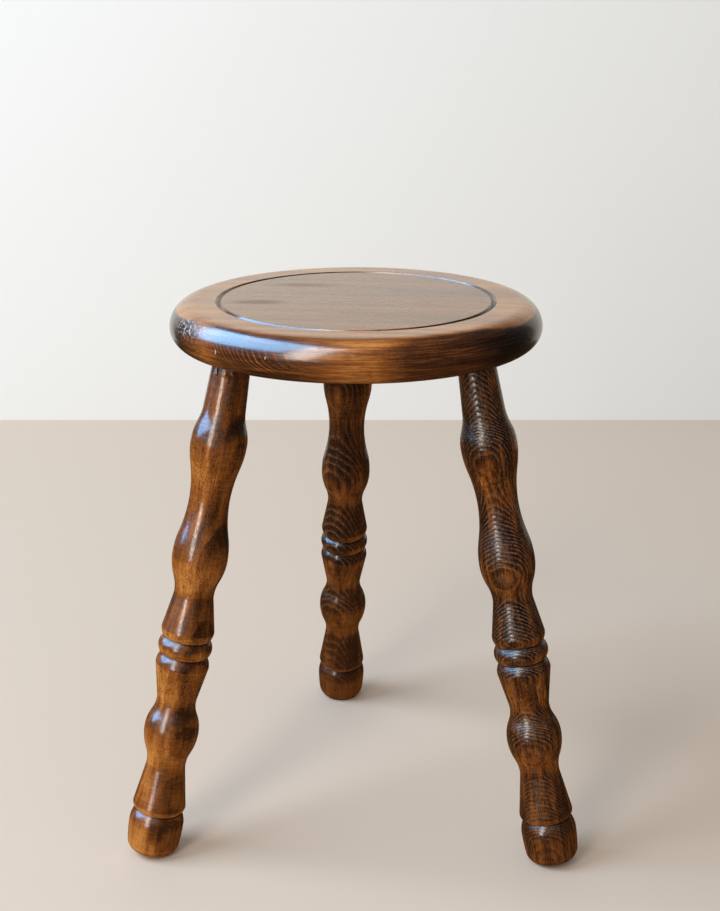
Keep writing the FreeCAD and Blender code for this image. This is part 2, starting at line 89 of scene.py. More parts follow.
# How rough stained wood is, what its pores add, and how rough unstained wood is
WOOD_ROUGHNESS = 0.42
PORE_ROUGHNESS = 0.2
BARE_ROUGHNESS = 0.7

# How far crisp edges are rounded
VARNISHED_EDGE = 0.0006
BARE_EDGE = 0.0003

# Size of the pores, across the grain and along it
LEG_PORE = 0.0005, 0.0025
SEAT_PORE = 0.0006, 0.008
BARE_PORE = 0.0004, 0.004

# How far a slope of a leg looks up to be darker, and how squarely a face looks out over the pith
UPWARD_SLOPES = -0.3, 0.3
PITH_FACE = 0.2, 0.95

# How well the rings show on the other slopes and on the other faces, as shares
RINGS_BELOW = 0.25
RINGS_BEHIND = 0.3

# Where down a leg varnish begins to fill the grain and where it is full, and the share of the grain it hides
GRAIN_FILLS = 0.24, 0.4
GRAIN_HIDDEN = 0.65

# The share of the streaks along the grain that shows however full it is
STREAKS_LEFT = 0.4

# Marks of the turning chisel: how long they are round the leg, and how wide
TURNING = 0.012, 0.0011

# How much the features of a leg add to its tone or take from it
RING_TONE = 0.06
DASH_TONE = 0.36
CLOUD_TONE = 0.6
FIBRE_TONE = 0.25
BAND_TONE = 0.3
TURNING_TONE = 0.3
# The grooves are darker, partly from gathered stain and partly from painted shade
GROOVE_STAIN_AND_SHADE = 0.3
LIP_TONE = 0.1
OVAL_TONE = 0.2

# The place on a leg that its tone is given for, measured down its axis
TONE_PLACE = 0.2

# Relief of a leg: a ridge's least share of its height, what fibres add, and the pores' depth in millimetres
RIDGE_LEAST = 0.3
RIDGE_FIBRES = 1.4
LEG_PORE_DEPTH = 0.06

# How light the stain is round the seat's edge, from the left end of the boards to the right end
EDGE_TONES = (
    (0.0, 0.14),
    (0.08, 0.2),
    (0.15, 0.55),
    (0.22, 0.29),
    (0.3, 0.3),
    (0.39, 0.4),
    (0.53, 0.74),
    (0.61, 0.74),
    (0.68, 0.4),
    (0.83, 0.32),
    (0.94, 0.0),
)

# How far the patches of that stain stray along the boards, as a share of the seat's width
EDGE_PATCHES = 0.08

# How far up a face of the seat looks to count as its top or underside, from not at all to fully
TOP_FACE = 0.9, 0.99
UNDER_FACE = -0.9, -0.99

# Where along the boards the top's pale tone begins to run on over the arris and does so fully, and how far
WORN_ENDS = 0.1, 0.14
WEAR = 0.24

# The upper arris: how far up it looks, its reach and how much paler it is
ARRIS = 0.88
ARRIS_REACH = 0.22
ARRIS_TONE = 0.25

# Tone of the flat top, what its rim outside the ring groove adds to it, partly its own tone and partly a
# painted sheen, and over what width
TOP_TONE = 0.57
RIM_TONE_AND_SHEEN = 0.155
RIM_FADE = 0.001

# Tone of the underside, and what clouds add to it
UNDER_TONE = 0.32
UNDER_CLOUDS = 0.2

# Streaks of the seat, as counts to a metre across the boards, upward and along them
EDGE_LINES = 40, 1000, 40
EDGE_BANDS = 25, 170, 11
FACE_LINES = 350, 0, 6
FACE_BANDS = 70, 0, 3

# How much the streaks add to the tone of the seat, and the mean that is taken off round the edge
EDGE_LINE_TONE = 0.3
EDGE_BAND_TONE = 0.18
EDGE_FIBRE_TONE = 0.2
EDGE_MEAN = 0.365
TOP_LINE_TONE = 0.09
TOP_BAND_TONE = 0.2
UNDER_LINE_TONE = 0.2

# Where the rings show in the seat's edge: how far along the boards it looks, with its reach, and how far up
RINGED = -0.42
RINGED_REACH = 0.34
RINGED_UP_TO = 0.35, 0.65

# How much paler these rings are, and what chance adds to each
RINGED_TONE = 0.18
RINGED_CHANCE = 0.3

# Tones that the pores and the glue seam take off the seat, with the seam's reach
SEAT_PORE_TONE = 0.12
SEAM_TONE = 0.12
SEAM_REACH = 0.0005

# Relief of the seat, in millimetres
RINGED_HEIGHT = 0.01
TOP_PORE_DEPTH = 0.012
EDGE_PORE_DEPTH = 0.018
SCUFF_DEPTH = 0.15

# Marks of use on the seat: a place, its reach along X, Y and Z and, for a smudge, how dull it is
SMUDGES = (
    ((-0.0785, -0.0113, SEAT_TOP), (0.03, 0.012, 0.01), 0.5),
    ((-0.044, 0.0556, SEAT_TOP), (0.04, 0.015, 0.01), 0.3),
)
SCUFF = (-0.1297, -0.0675, 0.441), (0.024, 0.034, 0.0075)
NICKS = (
    ((-0.1045, -0.1082, 0.4325), (0.0008, 0.0012, 0.0028)),
    ((-0.0659, -0.1347, 0.4347), (0.0007, 0.0007, 0.0018)),
)

# What a smudge takes off the tone, the levels of the fibres it takes to, and how much stain a scuff lacks
SMUDGE_TONE = 0.3
SMUDGED_FIBRES = 0.25, 0.6
SCUFF_SHARE = 0.7

# Pale flecks at the left end of the boards: their size, how sparse they are, where they end and their tone
FLECK = 0.0022, 0.0014
FLECK_LEVELS = 0.52, 0.6
FLECKED_END = 0.22, 0.1
FLECK_TONE = 0.24

# Runs of dried varnish at the top of the left leg: a place on it, the way out of it and half a width
RUNS = {
    "left": ((-0.1083, -0.0709, 0.4058), (-0.60, -0.77, 0.22), 0.0024),
    "middle": ((-0.1009, -0.0744, 0.4055), (-0.145, -0.975, 0.166), 0.0027),
    "right": ((-0.0950, -0.0746, 0.4065), (0.17, -0.98, 0.11), 0.0018),
}

# How far a run stands out, how its neck narrows, is drawn out and thins, and its facets round and along
RUN_RISE = 0.0014
NECK_NARROWS = 0.45
NECK_LENGTH = 2.6
NECK_THINS = 0.5
RUN_FACETS = 32, 20

# A dark oval in the grain of the left foot: a place, and its reach along X, Y and Z
LEFT_FOOT_OVAL = (-0.165, -0.115, 0.0255), (0.0085, 0.02, 0.0125)

# What the panels of light face: the middle of the stool, and the front left of the seat's edge
MIDDLE = (0, 0, 0.3)
SEAT_EDGE = (-0.08, -0.11, 0.44)

# Colours of the panels that light the stool, and of the cards that are only mirrored in its varnish
COOL_PANEL = (0.7, 0.84, 1.0)
WARM_PANEL = (1.0, 0.93, 0.82)
SEAT_COOL_CARD = (0.33, 0.61, 1.0)
LEG_COOL_CARD = (0.2, 0.54, 1.0)
WARM_CARD = (1.0, 0.95, 0.9)
CARD_DISTANCE = 3.2

# The room's light: its colour, its strength, what the varnish mirrors of it and what the camera sees of it
ROOM_COLOUR = (1.0, 0.97, 0.93, 1.0)
ROOM_LIGHT = 0.46
ROOM_MIRRORED = 0.03
ROOM_SEEN = 0.85

# The matt stage: a square floor a hair below the feet, and a backdrop that stands on it behind the stool
FLOOR_Z = -0.0002
FLOOR_HALF = 6
BACKDROP_LEFT = -1
BACKDROP_RIGHT = 1.3
BACKDROP_Y = 1.16
BACKDROP_TOP = 1.35
STAGE_ROUGHNESS = 0.75

# How far from the stool the stage begins to fade into the room, and where it is gone
STAGE_FADE = 1.45, 2.6

# Colours of the stage, as the camera sees it and as the varnish mirrors it
FLOOR = (0.66, 0.563, 0.48)
FLOOR_MIRRORED = (0.07, 0.036, 0.014)
BACKDROP = (0.92, 0.925, 0.91)
BACKDROP_MIRRORED = (1.0, 0.98, 0.88)

# The camera: its place, its angle up from straight down in degrees, and its lens and sensor in millimetres
CAMERA_PLACE = (0.00315, -1.2196, 0.7126)
CAMERA_ANGLE = 72.0
CAMERA_LENS = 60.73
CAMERA_SENSOR = 36.0


def direction(azimuth, elevation=0.0):
    """Gives a unit vector from its angles in degrees."""
    turn = math.radians(azimuth)
    rise = math.radians(elevation)
    level = math.cos(rise)
    return Vector((level * math.cos(turn), level * math.sin(turn), math.sin(rise)))


class Field:
    """A value that varies over a surface: a node's output, which sums and products build on."""

    def __init__(self, surface, socket):
        self.surface = surface
        self.socket = socket

    def __add__(self, other):
        return self.surface.math("ADD", self, other)

    def __sub__(self, other):
        return self.surface.math("SUBTRACT", self, other)

    def __rsub__(self, other):
        return self.surface.math("SUBTRACT", other, self)

    def __mul__(self, other):
        return self.surface.math("MULTIPLY", self, other)

    def __truediv__(self, other):
        return self.surface.math("DIVIDE", self, other)

    __radd__ = __add__
    __rmul__ = __mul__


class Surface:
    """One material and the nodes that make it."""

    # What a height of 1 is in metres, how often a bevel is sampled, and the share over which a spot is full
    HEIGHT_UNIT = 0.001
    BEVEL_SAMPLES = 6
    SPOT_CORE = 0.2

    # Levels of the noise between which fine and broad streaks rise
    LINE_LEVELS = 0.25, 0.75
    BAND_LEVELS = 0.3, 0.7

    def __init__(self, name):
        self.material = bpy.data.materials.new(name)
        self.material.use_nodes = True
        self.tree = self.material.node_tree
        self.shader = self.tree.nodes["Principled BSDF"]
        coordinates = self.add("ShaderNodeTexCoord")
        self.position = Field(self, coordinates.outputs["Object"])
        self.facing = Field(self, coordinates.outputs["Normal"])

    def add(self, kind, **settings):
        """Adds a node and sets its options."""
        node = self.tree.nodes.new(kind)
        for name, value in settings.items():
            setattr(node, name, value)
        return node

    def feed(self, socket, value):
        """Sets a socket to a number or a vector, or links it to a field."""
        if isinstance(value, Field):
            self.tree.links.new(value.socket, socket)
        else:
            socket.default_value = value

    def math(self, operation, first, second=0.0):
        """Works on two numbers."""
        node = self.add("ShaderNodeMath", operation=operation)
        self.feed(node.inputs[0], first)
        self.feed(node.inputs[1], second)
        return Field(self, node.outputs[0])

    def vector(self, operation, first, second=(0, 0, 0)):
        """Works on two vectors. A dot product or a length gives a number."""
        node = self.add("ShaderNodeVectorMath", operation=operation)
        self.feed(node.inputs[0], first)
        self.feed(node.inputs[1], second)
        gives_number = operation in ("DOT_PRODUCT", "LENGTH")
        return Field(self, node.outputs["Value" if gives_number else "Vector"])

    def smooth(self, value, low, high):
        """Rises softly from 0 to 1 as a value goes from low to high, or falls if low is above high."""
        node = self.add("ShaderNodeMapRange", interpolation_type="SMOOTHSTEP")
        self.feed(node.inputs["Value"], value)
        node.inputs["From Min"].default_value = low
        node.inputs["From Max"].default_value = high
        return Field(self, node.outputs["Result"])

    def between(self, value, begin, full, fade, gone):
        """Rises softly from 0 to 1 and falls back to 0 further on."""
        return self.smooth(value, begin, full) - self.smooth(value, fade, gone)

    def at_least(self, share, least):
        """Squeezes a share between 0 and 1 into the range from a least share to 1."""
        return share * (1.0 - least) + least

    def noise(self, place, detail=2.0, roughness=0.5):
        """Gives cloudy variation between 0 and 1, one cloud to a unit of its place."""
        node = self.add("ShaderNodeTexNoise")
        self.feed(node.inputs["Vector"], place)
        node.inputs["Scale"].default_value = 1.0
        node.inputs["Detail"].default_value = detail
        node.inputs["Roughness"].default_value = roughness
        return Field(self, node.outputs["Fac"])

    def lines(self, place, counts):
        """Gives fine streaks between 0 and 1, by their counts to a metre."""
        streaks = self.noise(self.vector("MULTIPLY", place, counts), detail=3.0, roughness=0.6)
        return self.smooth(streaks, *self.LINE_LEVELS)

    def bands(self, place, counts):
        """Gives broad, soft streaks between 0 and 1, by their counts to a metre."""
        streaks = self.noise(self.vector("MULTIPLY", place, counts))
        return self.smooth(streaks, *self.BAND_LEVELS)

    def chance(self, number):
        """Gives each whole number its own value between 0 and 1."""
        node = self.add("ShaderNodeTexWhiteNoise", noise_dimensions="1D")
        self.feed(node.inputs["W"], number)
        return Field(self, node.outputs["Value"])

    def along(self, vector, axis):
        """Gives how far a vector goes along a direction."""
        return self.vector("DOT_PRODUCT", vector, tuple(axis))

    def in_frame(self, origin, first, second, third):
        """Gives the position along three directions from an origin."""
        offset = self.vector("SUBTRACT", self.position, tuple(origin))
        node = self.add("ShaderNodeCombineXYZ")
        for index, axis in enumerate((first, second, third)):
            self.feed(node.inputs[index], self.along(offset, axis))
        return Field(self, node.outputs[0])

    def part(self, place, index):
        """Gives one of the three numbers of a place."""
        node = self.add("ShaderNodeSeparateXYZ")
        self.feed(node.inputs[0], place)
        return Field(self, node.outputs[index])

    def radius(self, place):
        """Gives how far a place lies from its third axis."""
        return self.vector("LENGTH", self.vector("MULTIPLY", place, (1, 1, 0)))

    def scaled(self, place, across, along):
        """Divides a place by the size of a feature across the grain and along it."""
        return self.vector("MULTIPLY", place, (1 / across, 1 / across, 1 / along))

    def near(self, value, spots, reach):
        """Is 1 at each of some spots of a value and fades to 0 at a reach from them."""
        total = 0.0
        for spot in spots:
            gap = self.math("ABSOLUTE", value - spot)
            total = (1.0 - self.smooth(gap, 0.0, reach)) + total
        return self.math("MINIMUM", total, 1.0)

    def spot(self, centre, reach):
        """Is 1 at a place and fades to 0 at its reach along X, Y and Z."""
        offset = self.vector("DIVIDE", self.vector("SUBTRACT", self.position, centre), reach)
        return 1.0 - self.smooth(self.vector("LENGTH", offset), self.SPOT_CORE, 1.0)

    def blend(self, share, first, second):
        """Mixes two colours, by the share of the second."""
        node = self.add("ShaderNodeMix", data_type="RGBA")
        self.feed(node.inputs["Factor"], share)
        self.feed(node.inputs["A"], first)
        self.feed(node.inputs["B"], second)
        return Field(self, node.outputs["Result"])

    def tint(self, tone, stops):
        """Turns a tone between 0 and 1 into a colour."""
        node = self.add("ShaderNodeValToRGB")
        self.feed(node.inputs[0], tone)
        ramp = node.color_ramp
        while len(ramp.elements) < len(stops):
            ramp.elements.new(1.0)
        for element, (spot, colour) in zip(ramp.elements, stops):
            element.position = spot
            element.color = (*colour, 1.0)
        return Field(self, node.outputs["Color"])

    def curve(self, value, stops):
        """Turns a value between 0 and 1 into a number, by way of a grey."""
        greys = [(spot, (number, number, number)) for spot, number in stops]
        return self.part(self.tint(value, greys), 0)

    def relief(self, height, edge_round):
        """Turns a height in millimetres into a normal, with crisp edges rounded a little."""
        bevel = self.add("ShaderNodeBevel", samples=self.BEVEL_SAMPLES)
        bevel.inputs["Radius"].default_value = edge_round
        bump = self.add("ShaderNodeBump")
        bump.inputs["Distance"].default_value = self.HEIGHT_UNIT
        self.feed(bump.inputs["Height"], height)
        self.tree.links.new(bevel.outputs[0], bump.inputs["Normal"])
        return Field(self, bump.outputs[0])

    def finish(self, colour, roughness, normal, coat, sheen=0.0):
        """Sets the shader, with a clear coat of varnish if there is one, and the wood's sheen under it."""
        self.feed(self.shader.inputs["Base Color"], colour)
        self.feed(self.shader.inputs["Roughness"], roughness)
        self.feed(self.shader.inputs["Normal"], normal)
        self.feed(self.shader.inputs["Coat Weight"], coat)
        if coat:
            self.feed(self.shader.inputs["Coat Normal"], normal)
            self.shader.inputs["Specular IOR Level"].default_value = sheen
            self.shader.inputs["Coat Roughness"].default_value = VARNISH_ROUGHNESS
            self.shader.inputs["Coat IOR"].default_value = VARNISH_IOR
        return self.material


class Timber:
    """Growth rings, pores and fibres of one piece of wood.

    The log's own frame has its third direction along the grain, and its origin on the pith.
    """

    # Sizes of the features, across the grain and along it
    DRIFT = 0.03, 0.12
    RIPPLE = 0.006, 0.03
    STROKE = 0.0007, 0.005
    FIBRE = 0.0009, 0.06
    BAND = 0.005, 0.16
    CLOUD = 0.022, 0.05

    # The rings drift this many times as far as they ripple
    DRIFT_SHARE = 6

    # Where in a ring, from 0 to 1, a feature begins, is full, begins to fade and is gone
    LATE_WOOD = 0.35, 0.75, 0.9, 1.0
    LINE = 0.55, 0.75, 0.78, 0.98
    RIDGE = 0.05, 0.6, 0.65, 1.0

    # Where in a ring the early wood has ended, and up to where it is full
    EARLY_WOOD = 0.55, 0.2

    # Levels of the noise at which the dashes, the strokes and the pores set in
    DASH_LEVELS = 0.42, 0.56
    STROKE_LEVELS = 0.6, 0.4
    PORE_LEVELS = 0.52, 0.68

    # The share of the pores that late wood lacks
    LATE_WOOD_CLOSED = 0.5

    def __init__(self, surface, log, ring, pore, wander=0.4, cone=0.0):
        drift = surface.noise(surface.scaled(log, *self.DRIFT)) - 0.5
        ripple = surface.noise(surface.scaled(log, *self.RIPPLE)) - 0.5
        radius = surface.radius(log) - surface.part(log, 2) * cone
        phase = radius / ring + drift * (wander * self.DRIFT_SHARE) + ripple * wander
        number = surface.math("FLOOR", phase)
        within = phase - number
        self.chance = surface.chance(number)
        self.late = surface.between(within, *self.LATE_WOOD)
        self.lines = surface.between(within, *self.LINE)
        self.ridges = surface.between(within, *self.RIDGE)
        # Along a ring the early wood is dashed, and its pale line is broken into strokes
        breaks = surface.noise(surface.scaled(log, *self.STROKE), detail=1.0)
        self.dashes = surface.smooth(breaks, *self.DASH_LEVELS) * surface.smooth(within, *self.EARLY_WOOD)
        self.strokes = self.lines * surface.smooth(breaks, *self.STROKE_LEVELS)
        grains = surface.noise(surface.scaled(log, *pore), detail=1.0)
        self.pores = surface.smooth(grains, *self.PORE_LEVELS) * (1.0 - self.late * self.LATE_WOOD_CLOSED)
        self.fibres = surface.noise(surface.scaled(log, *self.FIBRE), detail=3.0, roughness=0.6)
        self.bands = surface.noise(surface.scaled(log, *self.BAND))
        self.clouds = surface.noise(surface.scaled(log, *self.CLOUD), detail=3.0)


@dataclass
class LegLook:
    """How the wood of one leg looks."""

    # Which way the face over the pith looks, in degrees, and how far behind the leg's axis the pith lies
    face: float
    pith: float
    # Width of a ring, how much the rings narrow in each metre towards the foot, and how far they wander
    ring: float
    cone: float
    wander: float
    # The stain's tone, how much slopes that look up take off it, and how much painted light each metre
    # towards the foot adds
    tone: float
    darker_up: float
    painted_light_down: float
    # Strength of broad bands of late wood and of thin pale lines, which are partly a painted sheen, and the
    # height of ridges in millimetres
    broad: float = 0.0
    thin: float = 0.0
    ridge: float = 0.0
    # How much darker the face over the pith is, partly heartwood and partly painted shade, how dark the
    # pores are, and the strength of the streaks
    heart_and_shade: float = 0.0
    speckle: float = 0.25
    grain: float = 1.0
    # The place and the reach of a dark oval, if there is one
    oval: tuple = ()


LEG_LOOKS = {
    "left": LegLook(
        face=-40,
        pith=0.04,
        ring=0.0075,
        cone=0.074,
        wander=0.18,
        tone=0.79,
        darker_up=0.31,
        painted_light_down=0.43,
        broad=0.18,
        heart_and_shade=0.18,
        speckle=0.33,
        grain=1.9,
        oval=LEFT_FOOT_OVAL,
    ),
    "right": LegLook(
        face=-105,
        pith=0.016,
        ring=0.0012,
        cone=0.2,
        wander=0.4,
        tone=0.45,
        darker_up=0.18,
        painted_light_down=0.3,
        thin=1.0,
        ridge=0.14,
        grain=3.4,
    ),
    "rear": LegLook(
        face=-124,
        pith=0.02,
        ring=0.0022,
        cone=0.1,
        wander=0.4,
        tone=0.51,
        darker_up=0.26,
        painted_light_down=0.35,
        broad=0.07,
        thin=0.42,
        ridge=0.02,
        grain=2.0,
    ),
}


def leg_axis(name):
    """Gives where a leg's axis meets the underside of the seat, and its direction upward."""
    top = SOCKET_REACH * direction(LEG_AZIMUTHS[name]) + Vector((0, 0, UNDERSIDE))
    lean = direction(LEG_LEANS[name])
    splay = math.radians(SPLAY_ANGLE)
    return top, Vector((0, 0, math.cos(splay))) - lean * math.sin(splay)


def leg_wood(name, look):
    """Makes a leg's material.

    Its rings are about a pith behind one face of the leg, which is darker: partly the heartwood taking more
    of the stain, partly painted shade.
    """
    surface = Surface(f"leg_{name}_wood")
    top, up = leg_axis(name)
    front = direction(look.face)
    front = (front - up * front.dot(up)).normalized()
    log = surface.in_frame(top - front * look.pith, front, up.cross(front), up)
    timber = Timber(surface, log, look.ring, LEG_PORE, look.wander, look.cone)
    down = 0.0 - surface.part(log, 2)
    # Slopes that look up are darker, and the rings show best there and on the face over the pith
    looking_up = surface.smooth(surface.along(surface.facing, up), *UPWARD_SLOPES)
    facing = surface.smooth(surface.along(surface.facing, front), *PITH_FACE)
    # The grain is more filled with varnish towards the feet
    open_grain = 1.0 - surface.smooth(down, *GRAIN_FILLS) * GRAIN_HIDDEN
    shown = surface.at_least(looking_up, RINGS_BELOW) * surface.at_least(facing, RINGS_BEHIND) * open_grain
    rings = (timber.late * look.broad - timber.dashes * DASH_TONE * look.thin) * shown
    lines = timber.strokes * shown * look.thin
    shade = rings + timber.chance * RING_TONE + (timber.clouds - 0.5) * CLOUD_TONE + look.tone
    streaks = (timber.fibres - 0.5) * FIBRE_TONE + (timber.bands - 0.5) * BAND_TONE
    shade = shade + streaks * surface.at_least(open_grain, STREAKS_LEFT) * look.grain
    shade = shade - timber.pores * look.speckle * open_grain
    # Painted light: the legs are painted paler towards the feet, where the seat shades them less
    # The face over the pith is darker, partly heartwood and partly painted shade on the side away from the
    # light
    shade = shade + (down - TONE_PLACE) * look.painted_light_down - looking_up * look.darker_up - facing * look.heart_and_shade
    # Fine marks of the turning chisel go round the leg, and the grooves are darker: partly stain gathered
    # there, partly painted shade
    turning = surface.noise(surface.scaled(log, *TURNING), roughness=0.6) - 0.5
    groove_stain_and_shade = surface.near(down, LEG_GROOVES, GROOVE_REACH)
    lip = surface.near(down, LEG_LIPS, LIP_REACH)
    shade = shade + turning * TURNING_TONE - groove_stain_and_shade * GROOVE_STAIN_AND_SHADE + lip * LIP_TONE
    if look.oval:
        shade = shade - surface.spot(*look.oval) * OVAL_TONE
    # The thin pale lines along the rings are partly the grain and partly a painted sheen off its ridges
    colour = surface.blend(lines, surface.tint(shade, STAIN_TONES), PALE_LINE_AND_SHEEN)
    roughness = WOOD_ROUGHNESS + timber.pores * PORE_ROUGHNESS
    ridges = timber.ridges * (timber.fibres * RIDGE_FIBRES + RIDGE_LEAST) * open_grain * look.ridge
    height = ridges - timber.pores * LEG_PORE_DEPTH
    return surface.finish(colour, roughness, surface.relief(height, VARNISHED_EDGE), coat=1.0)


def seat_streaks(surface, log, timber, top, under, edge):
    """Gives the tone of a seat board's streaks.

    The rings lie almost level in the boards: the streaks are level round the edge and straight on the faces.
    """
    streaks = surface.lines(log, EDGE_LINES) * EDGE_LINE_TONE
    streaks = streaks + surface.bands(log, EDGE_BANDS) * EDGE_BAND_TONE
    streaks = streaks + timber.fibres * EDGE_FIBRE_TONE - EDGE_MEAN
    lines = (surface.lines(log, FACE_LINES) - 0.5) * (top * TOP_LINE_TONE + under * UNDER_LINE_TONE)
    bands = (surface.bands(log, FACE_BANDS) - 0.5) * top * TOP_BAND_TONE
    return streaks * edge + lines + bands


def seat_smudges(surface, timber):
    """Gives how dull the varnish is in the dark smudges on the top."""
    dull = 0.0
    for centre, reach, depth in SMUDGES:
        dull = surface.spot(centre, reach) * surface.smooth(timber.fibres, *SMUDGED_FIBRES) * depth + dull
    return dull


def seat_scuffs(surface, flecks):
    """Gives the pale scuffs and nicks in the edge."""
    scuffs = surface.spot(*SCUFF) * flecks
    for centre, reach in NICKS:
        scuffs = scuffs + surface.spot(centre, reach)
    return surface.math("MINIMUM", scuffs, 1.0)


def seat_wood(name, pith, ring, tone):
    """Makes a seat board's material: rings about a pith that runs along the seam, off to one side."""
    surface = Surface(f"{name}_wood")
    along = direction(SEAM_ANGLE)
    across = direction(SEAM_ANGLE + 90)
    upward = Vector((0, 0, 1))
    log = surface.in_frame(across * pith[0] + upward * pith[1], across, upward, along)
    timber = Timber(surface, log, ring, SEAT_PORE)
    # How far the surface looks up, and how far it looks and lies along the boards
    lift = surface.along(surface.facing, upward)
    ends = surface.along(surface.facing, along)
    length = surface.along(surface.position, along)
    # The pale top runs on over the arris at the ends of the boards
    wear = surface.smooth(surface.math("ABSOLUTE", length), *WORN_ENDS)
    top = surface.smooth(lift + wear * WEAR, *TOP_FACE)
    under = surface.smooth(lift, *UNDER_FACE)
    edge = 1.0 - top - under
    # The stain is patchy round the edge, and worn along the upper arris
    reach = length / (SEAT_RADIUS * 2) + 0.5 + (timber.clouds - 0.5) * EDGE_PATCHES
    arris = surface.near(lift, (ARRIS,), ARRIS_REACH)
    shade = surface.curve(reach, EDGE_TONES) * edge * (arris * ARRIS_TONE + 1.0)
    # The flat top is a little paler outside the ring groove, partly its own tone and partly a painted sheen
    rim = surface.smooth(surface.radius(surface.position), RING_RADIUS - RIM_FADE, RING_RADIUS + RIM_FADE)
    shade = shade + (rim * RIM_TONE_AND_SHEEN + TOP_TONE) * top + (timber.clouds * UNDER_CLOUDS + UNDER_TONE) * under
    shade = shade + seat_streaks(surface, log, timber, top, under, edge)
    shade = shade - timber.pores * SEAT_PORE_TONE + tone
    # At the front left the rings show as thin pale lines in the dark stain
    ringed = surface.near(ends, (RINGED,), RINGED_REACH) * (1.0 - surface.smooth(lift, *RINGED_UP_TO))
    ring_lines = timber.lines * ringed
    shade = shade + ring_lines * (timber.chance * RINGED_CHANCE + RINGED_TONE)
    # The glue seam is a thin dark line, and flecks are worn through the stain at the left end
    seam = surface.near(surface.along(surface.position, across), (0.0,), SEAM_REACH)
    flecks = surface.smooth(surface.noise(surface.scaled(surface.position, *FLECK)), *FLECK_LEVELS)
    flecked = flecks * edge * surface.smooth(reach, *FLECKED_END)
    shade = shade - seam * SEAM_TONE + flecked * FLECK_TONE
    # Marks of use
    dull = seat_smudges(surface, timber)
    scuffs = seat_scuffs(surface, flecks)
    shade = shade - dull * SMUDGE_TONE
    colour = surface.blend(scuffs * SCUFF_SHARE, surface.tint(shade, STAIN_TONES), SCUFFED)
    roughness = WOOD_ROUGHNESS + timber.pores * PORE_ROUGHNESS
    pore_depth = timber.pores * (edge * EDGE_PORE_DEPTH + TOP_PORE_DEPTH)
    normal = surface.relief(ring_lines * RINGED_HEIGHT - pore_depth - scuffs * SCUFF_DEPTH, VARNISHED_EDGE)
    return surface.finish(colour, roughness, normal, coat=1.0 - dull, sheen=SEAT_SHEEN)


def bare_wood():
    """Makes the unstained wood of the hidden dowels and wedges."""
    surface = Surface("bare_wood")
    log = surface.in_frame(BARE_PITH, direction(0), direction(90), Vector((0, 0, 1)))
    timber = Timber(surface, log, BARE_RING, BARE_PORE)
    shade = timber.late * BARE_LATE_TONE + timber.fibres * BARE_FIBRE_TONE
    shade = shade + timber.clouds * BARE_CLOUD_TONE - timber.pores * BARE_PORE_TONE
    height = timber.late * BARE_LATE_HEIGHT - timber.pores * BARE_PORE_DEPTH
    colour = surface.tint(shade, BARE_TONES)
    return surface.finish(colour, BARE_ROUGHNESS, surface.relief(height, BARE_EDGE), coat=0.0)


def dress(node, material):
    """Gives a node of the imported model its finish, and returns its piece."""
    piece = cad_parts[node]
    piece.data.materials.clear()
    piece.data.materials.append(material)
    return piece


def varnish_run(name, place, outward, half_width, material):
    """Makes one run of dried varnish: a drop that hangs from the joint by a narrower neck."""
    _, up = leg_axis("left")
    outward = Vector(outward).normalized()
    side = up.cross(outward)
    shape = bmesh.new()
    facets_round, facets_along = RUN_FACETS
    bmesh.ops.create_uvsphere(shape, u_segments=facets_round, v_segments=facets_along, radius=1.0)
    for vertex in shape.verts:
        x, y, z = vertex.co
        neck = max(z, 0.0)
        across = side * x * half_width * (1.0 - NECK_NARROWS * neck)
        along = up * z * half_width * (1.0 + NECK_LENGTH * neck)
        vertex.co = Vector(place) + across + along + outward * y * RUN_RISE * (1.0 - NECK_THINS * neck)
    mesh = bpy.data.meshes.new(name)
    shape.to_mesh(mesh)
    shape.free()
    mesh.shade_smooth()
    mesh.materials.append(material)
    run = bpy.data.objects.new(name, mesh)
    bpy.context.scene.collection.objects.link(run)
    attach(run, "root")
    return run


def stage_plane(name, corners, colour, mirrored):
    """Makes a plain matt plane that shows from its front only, in one colour to see and one to mirror."""
    mesh = bpy.data.meshes.new(name)
    mesh.from_pydata(corners, [], [tuple(range(len(corners)))])
    plane = bpy.data.objects.new(name, mesh)
    bpy.context.scene.collection.objects.link(plane)
    surface = Surface(name)
    glossy = Field(surface, surface.add("ShaderNodeLightPath").outputs["Is Glossy Ray"])
    paint = surface.tint(glossy, ((0.0, colour), (1.0, mirrored)))
    surface.feed(surface.shader.inputs["Base Color"], paint)
    surface.shader.inputs["Roughness"].default_value = STAGE_ROUGHNESS
    surface.shader.inputs["Specular IOR Level"].default_value = 0.0
    behind = Field(surface, surface.add("ShaderNodeNewGeometry").outputs["Backfacing"])
    far = surface.smooth(surface.vector("LENGTH", surface.position), *STAGE_FADE)
    clear = surface.add("ShaderNodeBsdfTransparent")
    choice = surface.add("ShaderNodeMixShader")
    surface.feed(choice.inputs[0], surface.math("MAXIMUM", behind, far))
    surface.tree.links.new(surface.shader.outputs[0], choice.inputs[1])
    surface.tree.links.new(clear.outputs[0], choice.inputs[2])
    surface.tree.links.new(choice.outputs[0], surface.tree.nodes["Material Output"].inputs["Surface"])
    mesh.materials.append(surface.material)


